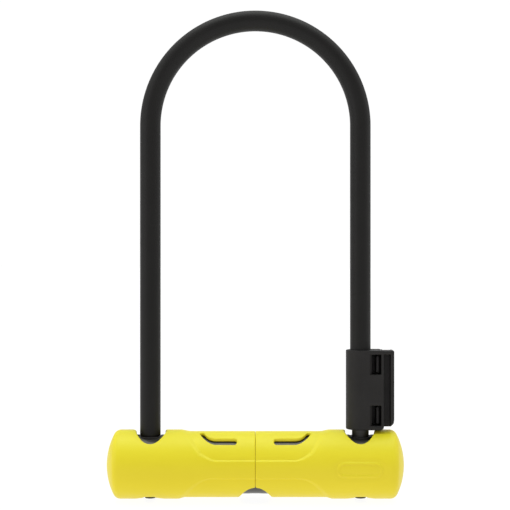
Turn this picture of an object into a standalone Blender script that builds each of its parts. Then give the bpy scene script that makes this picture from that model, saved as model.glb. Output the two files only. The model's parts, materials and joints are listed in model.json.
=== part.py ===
"""Bicycle U-lock: a steel crossbar tube in two plastic covers, a coated steel shackle, and a key-driven core
that pushes two bolts outwards into the notched shackle feet. It is stored unlocked, with the bolts drawn in.

X runs along the crossbar, +Z from the crossbar to the arch of the shackle, and -Y is the front.
The origin is the lowest point of the crossbar. Heights below are measured from the crossbar's axis."""

import math

import bmesh
import bpy
from mathutils import Vector

MM = 0.001
GAP = 0.3  # clearance between touching pieces, mm

# Crossbar, mm
CROSSBAR_LENGTH = 170.0
COVER_R = 19.65  # end sections of the covers
WAIST_R = 18.75  # recessed panels of the covers
COVER_INNER_R = 17.1
TUBE_R = 16.8
TUBE_BORE_R = 14.0
TUBE_HALF = 76.0
CORE_R = TUBE_BORE_R - GAP
AXIS_Z = COVER_R  # height of the crossbar's axis above the origin

# Shackle, mm
LEG_X = 60.2
ARCH_Z = 193.8
ROD_R = 4.85
COATING_R = 5.9
FOOT_Z = -12.5
COATING_LEFT_END = 16.4
COATING_RIGHT_END = 23.0
NOTCH_LOW, NOTCH_HIGH, NOTCH_DEPTH = 1.6, 8.8, 4.0

# Bolts and drive cam, mm
BOLT_LOW, BOLT_HIGH, BOLT_HALF_WIDTH = 2.2, 8.2, 4.0
BOLT_TIP = 54.4
BOLT_INNER_END = 2.2
PIN_R = 1.2
PIN_START, PIN_TRAVEL = 4.0, 4.0  # the pins' radius at rest, and how far a quarter turn pushes them out
CAM_R, CAM_HALF = 10.8, 1.6

# Cylinder, mm
CYLINDER_R = 8.2
CYLINDER_BORE_R = 6.15
CYLINDER_LOW, CYLINDER_HIGH = -16.4, -2.2
BARREL_R, BARREL_BORE_R = 6.0, 4.75
BARREL_LOW, BARREL_HIGH = -15.0, -1.9
DISC_R, DISC_THICKNESS, DISC_PITCH, DISC_COUNT = 4.5, 1.0, 1.7, 6
SPACER_THICKNESS = 0.3
DISC_FIRST_Z = -14.7

CORE_SCREW_X, CORE_SCREW_Y = 13.0, 8.0
CORE_PIN_X, SOCKET_PIN_X = 13.0, 51.6
CROSS_PIN_Z, CROSS_PIN_R = -6.0, 1.5

# Openings in the covers, mm: half-axes along X and Y
LEG_OPENING = (8.8, 14.1)
LEG_OPENING_X = 59.4
LEG_OPENING_BACK = 14.8
KEY_OPENING = (9.4, 14.8)

# Slots in the covers, mm: cut straight down, level at first and then turning towards the crossbar's ridge
SLOT_START_X, SLOT_TURN_X, SLOT_Y = 10.5, 22.5, 11.65
SLOT_TURN_R, SLOT_TURN, SLOT_TAIL = 7.5, 65.0, 2.4
SLOT_HALF_WIDTHS = (1.75, 1.2)

# Entry rings, and the plugs in the dished undersides of the covers, mm
RING_R, RING_LOW, RING_HIGH = 7.2, 14.0, 16.1
PLUG_R, PLUG_LOW, PLUG_HIGH = 3.15, -19.4, -14.0
PLUG_SLOT_HALF = 8.8  # half the length, front to back, of the slot round a plug
SCOOP_R, SCOOP_DEPTH = 17.0, 1.3

# Raised band between the sunk panels, mm. Past its turn each edge rises by growth * distance ** power, and by
# a step that is eased in over a stretch of that distance: level, turn, growth, power, step
BAND_UPPER = (4.6, 22.75, 0.17, 1.45, 3.9)
BAND_LOWER = (5.55, 24.5, 0.0425, 2.0, 0.0)
BAND_STEP_START, BAND_STEP_LENGTH = 8.3, 7.0

# Carrier adapter on the right leg, mm
ADAPTER_LOW, ADAPTER_HIGH = 20.2, 65.5
SLEEVE_R, SLEEVE_BORE_R = 8.3, 6.2
BLOCK_X, CLAMP_X = 73.2, 72.4
GROOVE_X, RAIL_X = 76.8, 78.9
WEB_LOW, RAIL_LOW, CAP_LOW, RAIL_BACK_Y = 21.9, 22.5, 63.2, 2.0
WEB_Y = (-4.0, -1.0)
WINDOW_X = (65.2, 71.5)
WINDOWS = ((51.9, 63.2), (22.7, 34.2))
CLAMP_SCREW_X = 68.4
CLAMP_SCREW_HEIGHTS = (38.0, 47.0)

SEGMENTS = 40

YELLOW = ((0.83, 0.66, 0.03), 0.42, 0.0)
BLACK = ((0.022, 0.021, 0.020), 0.55, 0.0)
VINYL = ((0.020, 0.019, 0.018), 0.62, 0.0)
TUBE_STEEL = ((0.33, 0.33, 0.34), 0.38, 1.0)
STEEL = ((0.50, 0.50, 0.51), 0.30, 1.0)
ZINC = ((0.55, 0.56, 0.58), 0.45, 1.0)
BRASS = ((0.72, 0.53, 0.24), 0.35, 1.0)
DARK_STEEL = ((0.12, 0.12, 0.13), 0.35, 1.0)


def clear_scene():
    for obj in list(bpy.data.objects):
        bpy.data.objects.remove(obj)


def make_collection(name, helper=False):
    collection = bpy.data.collections.new(name)
    bpy.context.scene.collection.children.link(collection)
    collection.hide_render = helper
    return collection


def at(x, y, z):
    """A point given in millimetres from the crossbar's axis."""
    return Vector((x, y, z + AXIS_Z)) * MM


def object_from_bmesh(name, bm, collection):
    mesh = bpy.data.meshes.new(name)
    bm.to_mesh(mesh)
    bm.free()
    obj = bpy.data.objects.new(name, mesh)
    collection.objects.link(obj)
    return obj


def as_helper(obj):
    obj.hide_render = True
    obj.display_type = "WIRE"
    return obj


def box(name, low, high, collection):
    bm = bmesh.new()
    bmesh.ops.create_cube(bm, size=1.0)
    sides = [high[i] - low[i] for i in range(3)]
    bmesh.ops.scale(bm, vec=Vector(sides) * MM, verts=bm.verts)
    obj = object_from_bmesh(name, bm, collection)
    obj.location = at(*[(low[i] + high[i]) / 2 for i in range(3)])
    return obj


def cylinder(name, radius, start, end, collection, segments=SEGMENTS, stretch=1.0):
    """A round bar between two points. stretch widens it across its second cross axis into an ellipse."""
    start, end = Vector(start), Vector(end)
    along = end - start
    bm = bmesh.new()
    bmesh.ops.create_cone(
        bm,
        cap_ends=True,
        segments=segments,
        radius1=radius * MM,
        radius2=radius * MM,
        depth=along.length * MM,
    )
    bmesh.ops.scale(bm, vec=(1.0, stretch, 1.0), verts=bm.verts)
    obj = object_from_bmesh(name, bm, collection)
    obj.location = at(*((start + end) / 2))
    obj.rotation_euler = along.to_track_quat("Z", "Y").to_euler()
    return obj


def turned(name, profile, collection, segments=SEGMENTS, along_x=False):
    """A turned piece. The profile is (radius, height) pairs down its outer side, from top to bottom."""
    mesh = bpy.data.meshes.new(name)
    points = [(radius * MM, 0, height * MM) for radius, height in profile]
    closed_ring = min(radius for radius, _ in profile) > 0
    count = len(points)
    edges = [(i, (i + 1) % count) for i in range(count if closed_ring else count - 1)]
    mesh.from_pydata(points, edges, [])
    obj = bpy.data.objects.new(name, mesh)
    collection.objects.link(obj)
    obj.location = at(0, 0, 0)
    if along_x:
        obj.rotation_euler = (0, math.pi / 2, 0)
    screw = obj.modifiers.new("Screw", "SCREW")
    screw.steps = screw.render_steps = segments
    screw.use_merge_vertices = True
    screw.merge_threshold = 0.00001
    return obj


def plate(name, outline, depth, collection, location=(0, 0, 0), rotation=(0, 0, 0)):
    """A flat outline in millimetres, extruded by depth about its own plane."""
    curve = bpy.data.curves.new(name, "CURVE")
    curve.dimensions = "2D"
    curve.fill_mode = "BOTH"
    curve.extrude = depth / 2 * MM
    spline = curve.splines.new("POLY")
    spline.points.add(len(outline) - 1)
    for point, (u, v) in zip(spline.points, outline):
        point.co = (u * MM, v * MM, 0, 1)
    spline.use_cyclic_u = True
    obj = bpy.data.objects.new(name, curve)
    collection.objects.link(obj)
    obj.location = at(*location)
    obj.rotation_euler = rotation
    return to_mesh(obj, collection)


def wire(name, points, radius, collection, bevel_resolution=4):
    curve = bpy.data.curves.new(name, "CURVE")
    curve.dimensions = "3D"
    curve.bevel_depth = radius * MM
    curve.bevel_resolution = bevel_resolution
    curve.use_fill_caps = True
    spline = curve.splines.new("POLY")
    spline.points.add(len(points) - 1)
    for point, place in zip(spline.points, points):
        point.co = (*at(*place), 1)
    obj = bpy.data.objects.new(name, curve)
    collection.objects.link(obj)
    return to_mesh(obj, collection)


def to_mesh(obj, collection):
    """Turns a curve into a mesh whose caps are welded to its sides."""
    bpy.context.view_layer.update()
    graph = bpy.context.evaluated_depsgraph_get()
    mesh = bpy.data.meshes.new_from_object(obj.evaluated_get(graph))
    bm = bmesh.new()
    bm.from_mesh(mesh)
    bmesh.ops.remove_doubles(bm, verts=bm.verts, dist=1e-6)
    bmesh.ops.recalc_face_normals(bm, faces=bm.faces)
    bm.to_mesh(mesh)
    bm.free()
    name, matrix = obj.name, obj.matrix_world.copy()
    bpy.data.objects.remove(obj)
    made = bpy.data.objects.new(name, mesh)
    made.matrix_world = matrix
    collection.objects.link(made)
    return made


def boolean(obj, cutter, operation="DIFFERENCE"):
    as_helper(cutter)
    modifier = obj.modifiers.new(operation.title(), "BOOLEAN")
    modifier.operation = operation
    modifier.object = cutter
    modifier.solver = "EXACT"


def finish_piece(obj, look):
    """Gives a piece its own material and smooth shading with sharp edges."""
    colour, roughness, metallic = look
    material = bpy.data.materials.new(obj.name)
    material.use_nodes = True
    shader = material.node_tree.nodes["Principled BSDF"]
    shader.inputs["Base Color"].default_value = (*colour, 1.0)
    shader.inputs["Roughness"].default_value = roughness
    shader.inputs["Metallic"].default_value = metallic
    obj.data.materials.clear()
    obj.data.materials.append(material)
    obj.data.shade_smooth()
    obj.data.set_sharp_from_angle(angle=math.radians(35))
    return obj


def arc(centre, radius, start, end, steps):
    """Points on an arc in a plane, angles in degrees."""
    angles = [math.radians(start + (end - start) * i / steps) for i in range(steps + 1)]
    return [(centre[0] + radius * math.cos(a), centre[1] + radius * math.sin(a)) for a in angles]


def ribbon(centre, half_widths, round_start=True):
    """The outline of a band along a line of points, with a round far end and a round or square near end."""
    left, right = [], []
    last = len(centre) - 1
    for i, point in enumerate(centre):
        along = (centre[min(i + 1, last)] - centre[max(i - 1, 0)]).normalized()
        across = Vector((-along.y, along.x)) * half_widths[i]
        left.append(point + across)
        right.append(point - across)

    def cap(end, before, radius):
        heading = math.atan2(end.y - before.y, end.x - before.x)
        turns = [heading + math.pi / 3 - i * math.pi / 6 for i in range(5)]
        return [end + Vector((math.cos(turn), math.sin(turn))) * radius for turn in turns]

    outline = left + cap(centre[-1], centre[-2], half_widths[-1]) + right[::-1]
    if round_start:
        outline += cap(centre[0], centre[1], half_widths[0])
    return [(point.x, point.y) for point in outline]


# Crossbar ------------------------------------------------------------------------------------------------


def cross_pin_hole(x, cutters):
    """The cutter for a hole from front to back that takes a cross pin."""
    start, end = (x, -20, CROSS_PIN_Z), (x, 20, CROSS_PIN_Z)
    return cylinder("cut_cross_pin", CROSS_PIN_R + GAP, start, end, cutters, segments=16)


def make_tube(parts, cutters):
    """The hardened tube, with holes for the shackle feet, the plugs, the cylinder and the cross pins."""
    tube = turned(
        "crossbar_tube",
        [(TUBE_R, TUBE_HALF), (TUBE_R, -TUBE_HALF), (TUBE_BORE_R, -TUBE_HALF), (TUBE_BORE_R, TUBE_HALF)],
        parts,
        segments=48,
        along_x=True,
    )
    for side in (-1, 1):
        x = side * LEG_X
        boolean(tube, cylinder("cut_tube_leg", RING_R + GAP, (x, 0, 5), (x, 0, 20), cutters))
        boolean(tube, cylinder("cut_tube_plug", PLUG_R + GAP, (x, 0, -20), (x, 0, -10), cutters, segments=24))
        for pin_x in (CORE_PIN_X, SOCKET_PIN_X):
            boolean(tube, cross_pin_hole(side * pin_x, cutters))
    boolean(tube, cylinder("cut_tube_cylinder", CYLINDER_R + GAP, (0, 0, -20), (0, 0, -5), cutters))
    return finish_piece(tube, TUBE_STEEL)


def cover_profile():
    """The right cover's section, outer side first, from the domed end back to the seam at x = 0."""
    half = CROSSBAR_LENGTH / 2
    dome = [
        (0.0, half),
        (5.7, half - 0.4),
        (10.3, half - 1.3),
        (14.9, half - 3.1),
        (17.1, half - 4.3),
        (18.6, half - 5.4),
        (19.4, half - 6.5),
        (COVER_R, half - 7.8),
    ]
    seam = GAP / 2
    inner = [(COVER_R, seam), (COVER_INNER_R, seam), (COVER_INNER_R, TUBE_HALF + 1.0), (0.0, TUBE_HALF + 1.0)]
    return dome + inner


def band_edge(level, turn_x, growth, power, step, count=10, length=19.0):
    """The right half of an edge of the raised band, level at first and then curving away from it."""
    points = []
    for i in range(count + 1):
        over = length * i / count
        share = min(max((over - BAND_STEP_START) / BAND_STEP_LENGTH, 0.0), 1.0)
        eased = share * share * (3 - 2 * share)
        points.append((turn_x + over, level + growth * over**power + step * eased))
    return points


def recess_cutters(cutters):
    """The sunk panels above and below the raised front and back band, between the waist and the ends."""
    found = []
    for name, sign, band in (("upper", 1, BAND_UPPER), ("lower", -1, BAND_LOWER)):
        right = [(x, sign * z) for x, z in band_edge(*band)]
        right.append((right[-1][0], sign * 30.0))
        outline = right + [(-x, z) for x, z in reversed(right)]
        panel = plate("cut_panel_" + name, outline, 60, cutters, rotation=(math.pi / 2, 0, 0))
        core = cylinder("core_panel_" + name, WAIST_R, (-60, 0, 0), (60, 0, 0), cutters, segments=48)
        boolean(panel, core)
        found.append(panel)
    return found


def slot_cutters(cutters):
    """The four slots: seen from above each runs beside the ridge, then turns towards it."""
    centre = [Vector((SLOT_START_X, -SLOT_Y)), Vector((SLOT_TURN_X, -SLOT_Y))]
    bend = arc((SLOT_TURN_X, SLOT_TURN_R - SLOT_Y), SLOT_TURN_R, -90, SLOT_TURN - 90, 5)
    centre += [Vector(point) for point in bend[1:]]
    heading = math.radians(SLOT_TURN)
    centre.append(centre[-1] + Vector((math.cos(heading), math.sin(heading))) * SLOT_TAIL)
    wide, narrow = SLOT_HALF_WIDTHS
    shares = [0.0, 0.0] + [min(1.0, i / 4) for i in range(1, len(centre) - 1)]
    half_widths = [wide + (narrow - wide) * share for share in shares]
    outline = ribbon(centre, half_widths, round_start=False)
    found = []
    for side in (-1, 1):
        for front in (-1, 1):
            points = [(side * x, -front * y) for x, y in outline]
            found.append(plate("cut_slot", points, 20, cutters, location=(0, 0, 12)))
    return found


def make_cover(name, side, shared_cutters, parts, cutters):
    """One cover, with its openings for the leg, the key and the plug, and a scoop across it at the plug."""
    cover = turned(name, cover_profile(), parts, segments=48, along_x=True)
    if side < 0:
        cover.rotation_euler = (0, -math.pi / 2, 0)
    for cutter in shared_cutters:
        boolean(cover, cutter)
    x = side * LEG_X
    width, depth = LEG_OPENING
    start, end = (side * LEG_OPENING_X, 0, 6), (side * LEG_OPENING_X, 0, 26)
    boolean(cover, cylinder("cut_leg", width, start, end, cutters, stretch=depth / width))
    back_half = rounded_rectangle(width - 0.1, -5.0, LEG_OPENING_BACK, 5.0)
    boolean(cover, plate("cut_leg_back", back_half, 20, cutters, location=(x, 0, 16)))
    width, depth = KEY_OPENING
    boolean(cover, cylinder("cut_key", width, (0, 0, -24), (0, 0, -5), cutters, stretch=depth / width))
    slot = rounded_rectangle(PLUG_R + GAP, -PLUG_SLOT_HALF, PLUG_SLOT_HALF, 1.2)
    boolean(cover, plate("cut_plug_slot", slot, 12, cutters, location=(x, 0, -18)))
    scoop_z = SCOOP_DEPTH - COVER_R - SCOOP_R
    boolean(cover, cylinder("cut_scoop", SCOOP_R, (x, -30, scoop_z), (x, 30, scoop_z), cutters, segments=96))
    return finish_piece(cover, YELLOW)


def rounded_rectangle(half_width, front, back, radius):
    """The outline of a rectangle with rounded corners, running from front to back about the line x = 0."""
    x, back_y, front_y = half_width - radius, back - radius, front + radius
    points = []
    for i, centre in enumerate(((x, back_y), (-x, back_y), (-x, front_y), (x, front_y))):
        points += arc(centre, radius, 90 * i, 90 * i + 90, 5)
    return points


def make_plug(name, side, parts):
    """The plug that pins a cover half to the tube, below the shackle foot."""
    profile = [(0, PLUG_HIGH), (PLUG_R, PLUG_HIGH), (PLUG_R, PLUG_LOW + 0.4), (PLUG_R - 0.4, PLUG_LOW)]
    profile.append((0, PLUG_LOW))
    plug = turned(name, profile, parts, segments=24)
    plug.location.x = side * LEG_X * MM
    return finish_piece(plug, BLACK)


def make_ring(name, side, parts):
    """The black entry ring that lines the tube's hole round a shackle leg."""
    bore = ROD_R + GAP
    profile = [(RING_R - 0.4, RING_HIGH), (RING_R, RING_HIGH - 0.4), (RING_R, RING_LOW), (bore, RING_LOW)]
    profile.append((bore, RING_HIGH))
    ring = turned(name, profile, parts, segments=32)
    ring.location.x = side * LEG_X * MM
    return finish_piece(ring, BLACK)


def make_end_plug(name, side, parts):
    plug = cylinder(name, CORE_R, (side * 67.2, 0, 0), (side * 75.7, 0, 0), parts)
    return finish_piece(plug, STEEL)


def make_socket(name, side, parts, cutters):
    """The block that guides a shackle foot and the bolt that locks it."""
    x = side * LEG_X
    socket = cylinder(name, CORE_R, (side * 49.0, 0, 0), (side * 66.9, 0, 0), parts)
    boolean(socket, cylinder("cut_foot_" + name, ROD_R + GAP, (x, 0, -20), (x, 0, 20), cutters, segments=32))
    low = (min(side * 48, side * 57), -BOLT_HALF_WIDTH - GAP, BOLT_LOW - GAP)
    high = (max(side * 48, side * 57), BOLT_HALF_WIDTH + GAP, BOLT_HIGH + GAP)
    boolean(socket, box("cut_bolt_" + name, low, high, cutters))
    boolean(socket, cross_pin_hole(side * SOCKET_PIN_X, cutters))
    return finish_piece(socket, ZINC)


def make_cross_pin(name, x, parts):
    start, end = (x, -15.2, CROSS_PIN_Z), (x, 15.2, CROSS_PIN_Z)
    pin = cylinder(name, CROSS_PIN_R, start, end, parts, segments=16)
    return finish_piece(pin, DARK_STEEL)


# Lock core -----------------------------------------------------------------------------------------------


def half_round(name, low, high, parts, cutters):
    """The part of a round bar along X between two heights."""
    bar = cylinder(name, CORE_R, (-16, 0, 0), (16, 0, 0), parts)
    boolean(bar, box("keep_" + name, (-30, -30, low), (30, 30, high), cutters), "INTERSECT")
    return bar


def make_core_base(parts, cutters):
    """The lower half of the core: it holds the cylinder and the cam."""
    base = half_round("core_base", -20, 1.9, parts, cutters)
    boolean(base, cylinder("cut_base_bore", CYLINDER_R + GAP, (0, 0, -20), (0, 0, 0), cutters))
    boolean(base, cylinder("cut_base_cam", CAM_R + GAP, (0, 0, -CAM_HALF - GAP), (0, 0, 5), cutters))
    for side in (-1, 1):
        boolean(base, cross_pin_hole(side * CORE_PIN_X, cutters))
        x, y = side * CORE_SCREW_X, side * CORE_SCREW_Y
        boolean(base, cylinder("cut_base_screw", 1.3, (x, y, -3.2), (x, y, 5), cutters, segments=16))
    return finish_piece(base, ZINC)


def make_core_lid(parts, cutters):
    """The upper half of the core: the bolts slide in its channel."""
    lid = half_round("core_lid", BOLT_LOW, 20, parts, cutters)
    width = BOLT_HALF_WIDTH + GAP
    boolean(lid, box("cut_lid_channel", (-20, -width, 0), (20, width, BOLT_HIGH + GAP), cutters))
    for side in (-1, 1):
        x, y = side * CORE_SCREW_X, side * CORE_SCREW_Y
        boolean(lid, cylinder("cut_lid_screw", 1.3, (x, y, 0), (x, y, 20), cutters, segments=16))
        boolean(lid, cylinder("cut_lid_head", 2.5, (x, y, 6.2), (x, y, 20), cutters, segments=24))
    return finish_piece(lid, ZINC)


def make_core_screw(name, side, parts):
    profile = [(0, 8.2), (2.2, 8.2), (2.2, 6.5), (1.0, 6.5), (1.0, -2.9), (0, -2.9)]
    screw = turned(name, profile, parts, segments=20)
    screw.location.x = side * CORE_SCREW_X * MM
    screw.location.y = side * CORE_SCREW_Y * MM
    return finish_piece(screw, DARK_STEEL)


def make_cylinder_body(parts, cutters):
    """The plated cylinder that the key enters from below. Its lower end follows the tube's round side."""
    lip_r, lip_top = 5.2, BARREL_LOW - GAP
    profile = [
        (CYLINDER_R, CYLINDER_HIGH),
        (CYLINDER_R, CYLINDER_LOW),
        (lip_r, CYLINDER_LOW),
        (lip_r, lip_top),
        (CYLINDER_BORE_R, lip_top),
        (CYLINDER_BORE_R, CYLINDER_HIGH),
    ]
    body = turned("cylinder_body", profile, parts)
    around = cylinder("keep_cylinder", TUBE_R, (-20, 0, 0), (20, 0, 0), cutters, segments=48)
    boolean(body, around, "INTERSECT")
    boolean(body, box("cut_sidebar_groove", (-0.9, 5.5, -14.0), (0.9, 7.1, -3.4), cutters))
    return finish_piece(body, TUBE_STEEL)


def make_shutter(parts, cutters):
    """The turning dust cover in the mouth of the cylinder, closed at rest."""
    shutter = cylinder("keyway_shutter", 4.95, (0, 0, -16.1), (0, 0, -15.3), parts, segments=32)
    boolean(shutter, box("cut_shutter", (-3.4, -0.9, -17), (3.4, 0.9, -15), cutters))
    return finish_piece(shutter, STEEL)


def make_barrel(parts, cutters):
    """The turning barrel that holds the discs and drives the cam through a slot in its top."""
    floor = BARREL_HIGH - 2.3
    profile = [
        (0, BARREL_HIGH),
        (BARREL_R, BARREL_HIGH),
        (BARREL_R, BARREL_LOW),
        (BARREL_BORE_R, BARREL_LOW),
        (BARREL_BORE_R, floor),
        (0, floor),
    ]
    barrel = turned("disc_barrel", profile, parts)
    boolean(barrel, box("cut_barrel_drive", (-2.3, -1.3, BARREL_HIGH - 1.6), (2.3, 1.3, 0), cutters))
    boolean(barrel, box("cut_barrel_sidebar", (-0.95, 3.0, -13.9), (0.95, 7.0, -4.6), cutters))
    return finish_piece(barrel, BRASS)


def make_disc(index, parts, cutters):
    """A coded disc: a key slot in its middle and a notch that takes the sidebar when the code is right."""
    low = DISC_FIRST_Z + index * DISC_PITCH
    name = f"lock_disc_{index + 1}"
    disc = cylinder(name, DISC_R, (0, 0, low), (0, 0, low + DISC_THICKNESS), parts, segments=24)
    boolean(disc, box("cut_key_" + name, (-0.9, -2.9, low - 1), (0.9, 2.1, low + 2), cutters))
    boolean(disc, box("cut_notch_" + name, (-1.0, 3.5, low - 1), (1.0, 6.0, low + 2), cutters))
    return finish_piece(disc, BRASS)


def make_spacer(index, parts, cutters):
    """A thin washer that keeps two discs apart, open at one side for the sidebar."""
    clearance = (DISC_PITCH - DISC_THICKNESS - SPACER_THICKNESS) / 2
    low = DISC_FIRST_Z + index * DISC_PITCH + DISC_THICKNESS + clearance
    name = f"disc_spacer_{index + 1}"
    profile = [(DISC_R, low + SPACER_THICKNESS), (DISC_R, low), (3.1, low), (3.1, low + SPACER_THICKNESS)]
    spacer = turned(name, profile, parts, segments=20)
    boolean(spacer, box("cut_" + name, (-1.0, 2.0, low - 1), (1.0, 6.0, low + 1), cutters))
    return finish_piece(spacer, STEEL)


def make_sidebar(parts):
    bar = box("sidebar", (-0.65, 3.8, -13.6), (0.65, 5.85, -4.9), parts)
    return finish_piece(bar, STEEL)


def spiral_slot(turn_offset):
    """The outline of a cam slot whose centre line moves out evenly through a quarter turn."""
    steps = 12
    centre = []
    for i in range(steps + 1):
        share = i / steps
        angle = turn_offset - share * math.pi / 2
        radius = PIN_START + PIN_TRAVEL * share
        centre.append(Vector((radius * math.cos(angle), radius * math.sin(angle))))
    return ribbon(centre, [PIN_R + GAP] * len(centre))


def make_cam(parts, cutters):
    """The disc whose two spiral slots push the bolts apart through a quarter turn."""
    cam = cylinder("drive_cam", CAM_R, (0, 0, -CAM_HALF), (0, 0, CAM_HALF), parts)
    for name, offset in (("right", 0.0), ("left", math.pi)):
        boolean(cam, plate("cut_cam_" + name, spiral_slot(offset), 2 * CAM_HALF + 2, cutters))
    boolean(cam, box("cam_tang", (-2.0, -1.0, -3.3), (2.0, 1.0, -0.8), cutters), "UNION")
    return finish_piece(cam, STEEL)


def make_bolt(name, side, parts, cutters):
    ends = sorted((side * BOLT_INNER_END, side * BOLT_TIP))
    low = (ends[0], -BOLT_HALF_WIDTH, BOLT_LOW + GAP)
    high = (ends[1], BOLT_HALF_WIDTH, BOLT_HIGH)
    bolt = box(name, low, high, parts)
    bevel = bolt.modifiers.new("Bevel", "BEVEL")
    bevel.width = 0.6 * MM
    bevel.segments = 1
    x = side * PIN_START
    boolean(bolt, cylinder("pin_" + name, PIN_R, (x, 0, -1.2), (x, 0, 4.5), cutters, segments=24), "UNION")
    return finish_piece(bolt, STEEL)


# Shackle -------------------------------------------------------------------------------------------------


def leg_path(left_end, right_end, steps=24):
    """From the foot of the left leg over the arch to the foot of the right leg."""
    straight = 3
    left = [(-LEG_X, 0, left_end + (ARCH_Z - left_end) * i / straight) for i in range(straight)]
    bow = [(x, 0, z) for x, z in arc((0, ARCH_Z), LEG_X, 180, 0, steps)]
    right = [(LEG_X, 0, ARCH_Z + (right_end - ARCH_Z) * (i + 1) / straight) for i in range(straight)]
    return left + bow + right


def make_shackle_rod(parts, cutters):
    rod = wire("shackle_rod", leg_path(FOOT_Z, FOOT_Z), ROD_R, parts, bevel_resolution=5)
    for side in (-1, 1):
        inner, depth_x = side * (LEG_X - ROD_R - 1), side * (LEG_X - ROD_R + NOTCH_DEPTH)
        low = (min(inner, depth_x), -8, NOTCH_LOW)
        high = (max(inner, depth_x), 8, NOTCH_HIGH)
        boolean(rod, box("cut_notch", low, high, cutters))
        profile = [(9, FOOT_Z + 1.6), (9, FOOT_Z - 1), (ROD_R - 2.6, FOOT_Z - 1), (ROD_R, FOOT_Z + 1.6)]
        chamfer = turned("cut_foot_chamfer", profile, cutters, segments=32)
        chamfer.location.x = side * LEG_X * MM
        boolean(rod, chamfer)
    return finish_piece(rod, DARK_STEEL)


def make_coating(parts, cutters):
    path = leg_path(COATING_LEFT_END, COATING_RIGHT_END)
    coating = wire("shackle_coating", path, COATING_R, parts, bevel_resolution=5)
    longer_path = leg_path(COATING_LEFT_END - 5, COATING_RIGHT_END - 5)
    boolean(coating, wire("cut_coating", longer_path, ROD_R + GAP, cutters, bevel_resolution=5))
    return finish_piece(coating, VINYL)


def sleeve(name, block_x, parts, cutters):
    """A round sleeve about the right leg with a flat-sided block beside it, not yet split front from back."""
    body = cylinder(name, SLEEVE_R, (LEG_X, 0, ADAPTER_LOW), (LEG_X, 0, ADAPTER_HIGH), parts)
    low, high = (LEG_X, -SLEEVE_R, ADAPTER_LOW + 0.8), (block_x, SLEEVE_R, ADAPTER_HIGH)
    boolean(body, box("block_" + name, low, high, cutters), "UNION")
    return body


def make_adapter_body(parts, cutters):
    """The front half of the carrier adapter, with two windows and the rail that slides into the bracket."""
    body = sleeve("adapter_body", BLOCK_X, parts, cutters)
    start, end, top = BLOCK_X - 0.4, GROOVE_X + 0.6, ADAPTER_HIGH
    web = box("adapter_web", (start, WEB_Y[0], WEB_LOW), (end, WEB_Y[1], top), cutters)
    flange = box("adapter_flange", (GROOVE_X, -SLEEVE_R, RAIL_LOW), (RAIL_X, RAIL_BACK_Y, top), cutters)
    cap = box("adapter_cap", (start, -SLEEVE_R, CAP_LOW), (end, RAIL_BACK_Y, top), cutters)
    for piece in (web, flange, cap):
        boolean(body, piece, "UNION")
    boolean(body, cylinder("cut_adapter_bore", SLEEVE_BORE_R, (LEG_X, 0, 10), (LEG_X, 0, 80), cutters))
    boolean(body, box("cut_adapter_rear", (50, 0, 10), (CLAMP_X + GAP, 20, 80), cutters))
    for low, high in WINDOWS:
        boolean(body, box("cut_adapter_window", (WINDOW_X[0], -20, low), (WINDOW_X[1], 2, high), cutters))
    for z in CLAMP_SCREW_HEIGHTS:
        x = CLAMP_SCREW_X
        boolean(body, cylinder("cut_adapter_screw", 1.4, (x, -5.4, z), (x, 12, z), cutters, segments=16))
    return finish_piece(body, BLACK)


def make_adapter_clamp(parts, cutters):
    """The rear half of the adapter, which hooks into the front half's windows and is screwed to it."""
    clamp = sleeve("adapter_clamp", CLAMP_X, parts, cutters)
    boolean(clamp, box("cut_clamp_front", (50, -20, 10), (90, GAP, 80), cutters))
    for low, high in WINDOWS:
        start, end = (WINDOW_X[1] - 2.6, -5.6, low + 0.4), (WINDOW_X[1] - 0.3, 3.0, high - 0.4)
        boolean(clamp, box("clamp_hook", start, end, cutters), "UNION")
    boolean(clamp, cylinder("cut_clamp_bore", SLEEVE_BORE_R, (LEG_X, 0, 10), (LEG_X, 0, 80), cutters))
    for z in CLAMP_SCREW_HEIGHTS:
        x = CLAMP_SCREW_X
        boolean(clamp, cylinder("cut_clamp_shank", 1.4, (x, -2, z), (x, 12, z), cutters, segments=16))
        boolean(clamp, cylinder("cut_clamp_head", 2.4, (x, 6.2, z), (x, 12, z), cutters, segments=20))
    return finish_piece(clamp, BLACK)


def make_clamp_screw(name, z, parts):
    """A screw from behind that draws the two halves of the adapter together."""
    profile = [(0, 8.1), (2.1, 8.1), (2.1, 6.5), (1.1, 6.5), (1.1, -5.0), (0, -5.0)]
    screw = turned(name, profile, parts, segments=16)
    screw.location = at(CLAMP_SCREW_X, 0, z)
    screw.rotation_euler = (-math.pi / 2, 0, 0)
    return finish_piece(screw, DARK_STEEL)


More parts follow.
